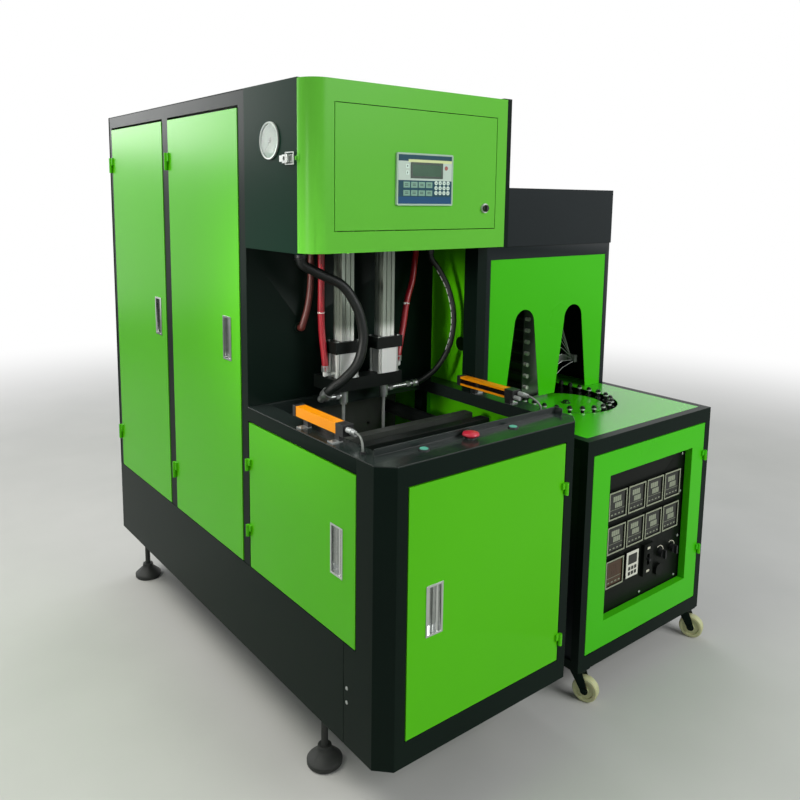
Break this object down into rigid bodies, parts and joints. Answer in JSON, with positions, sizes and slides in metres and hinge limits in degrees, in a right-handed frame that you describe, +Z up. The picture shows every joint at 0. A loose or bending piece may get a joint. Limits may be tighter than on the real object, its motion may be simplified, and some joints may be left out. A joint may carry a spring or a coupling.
{
  "type": "blow moulding machine",
  "caption": "Stretch blow moulding machine: cabinet with overhanging control head, work pit and stations, beside a wheeled preform heater with turntable and lamp tower.",
  "frame": {"origin": "middle of the bounding box at floor level", "axes": "+Z up, the front doors and the control panel face -Y, the heater stands at +X"},
  "size_m": [1.568, 1.8424, 1.92],
  "materials": {
    "black_paint": "satin powder coat",
    "green_paint": "gloss",
    "chrome": "polished",
    "rubber_foot": "matt",
    "panel_plastic": "matt",
    "dial_white": "gloss",
    "black_plastic": "matt",
    "button_green": "gloss",
    "button_red": "gloss",
    "orange_paint": "satin",
    "aluminium": "anodised",
    "white_plastic": "satin",
    "dark_steel": "satin",
    "steel": "machined",
    "hose_black": "satin",
    "hose_red": "satin",
    "blue_paint": "gloss",
    "wheel_nylon": "satin"
  },
  "bodies": {
    "machine": {"frame": "black_paint", "levelling_feet": "rubber_foot", "cabinet_panels": "black_paint", "table_top": "black_paint", "hinge_pins": "green_paint", "right_panels": "green_paint", "head_shell": "black_paint", "latch_base": "chrome", "pressure_gauge": "dial_white", "light_curtains": "orange_paint", "stretch_cylinders": "aluminium", "seal_cylinders": "white_plastic", "nozzle_beam": "dark_steel", "hose_left": "hose_black", "hose_right": "hose_black", "air_hoses": "hose_red", "clamp_frame": "dark_steel", "air_equipment": "blue_paint", "heater_frame": "black_paint", "heater_panels": "black_paint", "heater_top": "green_paint", "tower_front": "green_paint", "control_board": "black_plastic", "holder_chain": "steel", "lamp_rack": "aluminium"},
    "rear_door": {"door_rear": "green_paint", "handle_rear": "chrome"},
    "middle_door": {"door_middle": "green_paint", "handle_middle": "chrome"},
    "low_door": {"door_low": "green_paint", "handle_low": "chrome"},
    "front_door": {"door_front": "green_paint", "handle_front": "chrome"},
    "head_cover_body": {"head_cover": "green_paint"},
    "control_door_body": {"control_door": "green_paint", "hmi_panel": "panel_plastic"},
    "door_lock_body": {"door_lock": "chrome"},
    "latch_lever_body": {"latch_lever": "chrome"},
    "latch_bail_body": {"latch_bail": "chrome"},
    "pointer": {"gauge_pointer": "black_plastic"},
    "start_left": {"start_button_left": "button_green"},
    "start_right": {"start_button_right": "button_green"},
    "stop": {"stop_button": "button_red"},
    "nozzle_left_body": {"nozzle_left": "steel"},
    "nozzle_right_body": {"nozzle_right": "steel"},
    "rod_left": {"stretch_rod_left": "chrome"},
    "rod_right": {"stretch_rod_right": "chrome"},
    "front_platen": {"platen_front": "steel"},
    "rear_platen": {"platen_rear": "steel"},
    "heater_door_body": {"heater_door": "green_paint"},
    "breaker": {"breaker_lever": "black_plastic"},
    "knob_left_body": {"knob_left": "black_plastic"},
    "knob_right_body": {"knob_right": "black_plastic"},
    "turntable_body": {"turntable": "green_paint"},
    "fork_left_body": {"fork_left": "black_paint"},
    "fork_right_body": {"fork_right": "black_paint"},
    "wheel_front_left_body": {"wheel_front_left": "wheel_nylon"},
    "wheel_front_right_body": {"wheel_front_right": "wheel_nylon"},
    "wheel_rear_left_body": {"wheel_rear_left": "wheel_nylon"},
    "wheel_rear_right_body": {"wheel_rear_right": "wheel_nylon"}
  },
  "joints": [
    {"name": "rear_door_hinge", "type": "hinge", "parent": "machine", "child": "rear_door", "pos_m": [-0.7775, 0.89325, 1.185], "axis": [0, 0, -1], "range_deg": [0, 105]},
    {"name": "middle_door_hinge", "type": "hinge", "parent": "machine", "child": "middle_door", "pos_m": [-0.7775, 0.32375, 1.185], "axis": [0, 0, -1], "range_deg": [0, 105]},
    {"name": "low_door_hinge", "type": "hinge", "parent": "machine", "child": "low_door", "pos_m": [-0.7775, -0.24075, 0.726], "axis": [0, 0, -1], "range_deg": [0, 105]},
    {"name": "front_door_hinge", "type": "hinge", "parent": "machine", "child": "front_door", "pos_m": [-0.123, -0.91525, 0.612], "axis": [0, 0, 1], "range_deg": [0, 105]},
    {"name": "head_cover_hinge", "type": "hinge", "parent": "machine", "child": "head_cover_body", "pos_m": [-0.077, -0.58275, 1.696], "axis": [0, 0, 1], "range_deg": [0, 105]},
    {"name": "control_door_hinge", "type": "hinge", "parent": "head_cover_body", "child": "control_door_body", "pos_m": [-0.691, -0.58375, 1.696], "axis": [0, 0, -1], "range_deg": [0, 100]},
    {"name": "door_lock_turn", "type": "hinge", "parent": "control_door_body", "child": "door_lock_body", "pos_m": [-0.16, -0.58875, 1.593], "axis": [0, 1, 0], "range_deg": [0, 90]},
    {"name": "latch_lever_pivot", "type": "hinge", "parent": "machine", "child": "latch_lever_body", "pos_m": [-0.779, -0.49375, 1.718], "axis": [0, 0, 1], "range_deg": [0, 150]},
    {"name": "latch_bail_pivot", "type": "hinge", "parent": "latch_lever_body", "child": "latch_bail_body", "pos_m": [-0.779, -0.48375, 1.718], "axis": [0, 0, 1], "range_deg": [-150, 0]},
    {"name": "gauge_pointer_turn", "type": "hinge", "parent": "machine", "child": "pointer", "pos_m": [-0.7733, -0.38875, 1.768], "axis": [1, 0, 0], "range_deg": [0, 270]},
    {"name": "start_left_press", "type": "slide", "parent": "machine", "child": "start_left", "axis": [0, 0, -1], "range_m": [0, 0.004], "stiffness_N_per_m": 400, "springref_m": -0.003},
    {"name": "start_right_press", "type": "slide", "parent": "machine", "child": "start_right", "axis": [0, 0, -1], "range_m": [0, 0.004], "stiffness_N_per_m": 400, "springref_m": -0.003},
    {"name": "stop_press", "type": "slide", "parent": "machine", "child": "stop", "axis": [0, 0, -1], "range_m": [0, 0.005], "stiffness_N_per_m": 600, "springref_m": -0.003},
    {"name": "nozzle_left_slide", "type": "slide", "parent": "machine", "child": "nozzle_left_body", "axis": [0, 0, -1], "range_m": [0, 0.025]},
    {"name": "nozzle_right_slide", "type": "slide", "parent": "machine", "child": "nozzle_right_body", "axis": [0, 0, -1], "range_m": [0, 0.025]},
    {"name": "stretch_left_slide", "type": "slide", "parent": "machine", "child": "rod_left", "axis": [0, 0, -1], "range_m": [-0.11, 0.2]},
    {"name": "stretch_right_slide", "type": "slide", "parent": "machine", "child": "rod_right", "axis": [0, 0, -1], "range_m": [-0.11, 0.2]},
    {"name": "front_platen_slide", "type": "slide", "parent": "machine", "child": "front_platen", "axis": [0, 1, 0], "range_m": [0, 0.09]},
    {"name": "rear_platen_slide", "type": "slide", "parent": "machine", "child": "rear_platen", "axis": [0, -1, 0], "range_m": [0, 0.09]},
    {"name": "heater_door_hinge", "type": "hinge", "parent": "machine", "child": "heater_door_body", "pos_m": [0.756, -0.83325, 0.496], "axis": [0, 0, 1], "range_deg": [0, 105]},
    {"name": "breaker_switch", "type": "hinge", "parent": "machine", "child": "breaker", "pos_m": [0.472, -0.80375, 0.381], "axis": [1, 0, 0], "range_deg": [-20, 20]},
    {"name": "knob_left_turn", "type": "hinge", "parent": "machine", "child": "knob_left_body", "pos_m": [0.556, -0.79675, 0.379], "axis": [0, 1, 0], "range_deg": [0, 270]},
    {"name": "knob_right_turn", "type": "hinge", "parent": "machine", "child": "knob_right_body", "pos_m": [0.626, -0.79675, 0.379], "axis": [0, 1, 0], "range_deg": [0, 270]},
    {"name": "turntable_spin", "type": "hinge", "parent": "machine", "child": "turntable_body", "pos_m": [0.434, -0.44875, 0.86], "axis": [0, 0, 1], "continuous": true},
    {"name": "fork_left_swivel", "type": "hinge", "parent": "machine", "child": "fork_left_body", "pos_m": [0.122, -0.79875, 0.1], "axis": [0, 0, 1], "continuous": true},
    {"name": "fork_right_swivel", "type": "hinge", "parent": "machine", "child": "fork_right_body", "pos_m": [0.746, -0.79875, 0.1], "axis": [0, 0, 1], "continuous": true},
    {"name": "wheel_front_left_spin", "type": "hinge", "parent": "fork_left_body", "child": "wheel_front_left_body", "pos_m": [0.13158, -0.82506, 0.042], "axis": [-0.9397, -0.342, 0], "continuous": true},
    {"name": "wheel_front_right_spin", "type": "hinge", "parent": "fork_right_body", "child": "wheel_front_right_body", "pos_m": [0.75558, -0.82506, 0.042], "axis": [-0.9397, -0.342, 0], "continuous": true},
    {"name": "wheel_rear_left_spin", "type": "hinge", "parent": "machine", "child": "wheel_rear_left_body", "pos_m": [0.122, 0.24525, 0.042], "axis": [1, 0, 0], "continuous": true},
    {"name": "wheel_rear_right_spin", "type": "hinge", "parent": "machine", "child": "wheel_rear_right_body", "pos_m": [0.746, 0.24525, 0.042], "axis": [1, 0, 0], "continuous": true}
  ],
  "couplings": [
    {"joint": "latch_bail_pivot", "follows": "latch_lever_pivot", "ratio": -1},
    {"joint": "rear_platen_slide", "follows": "front_platen_slide", "ratio": 1}
  ]
}
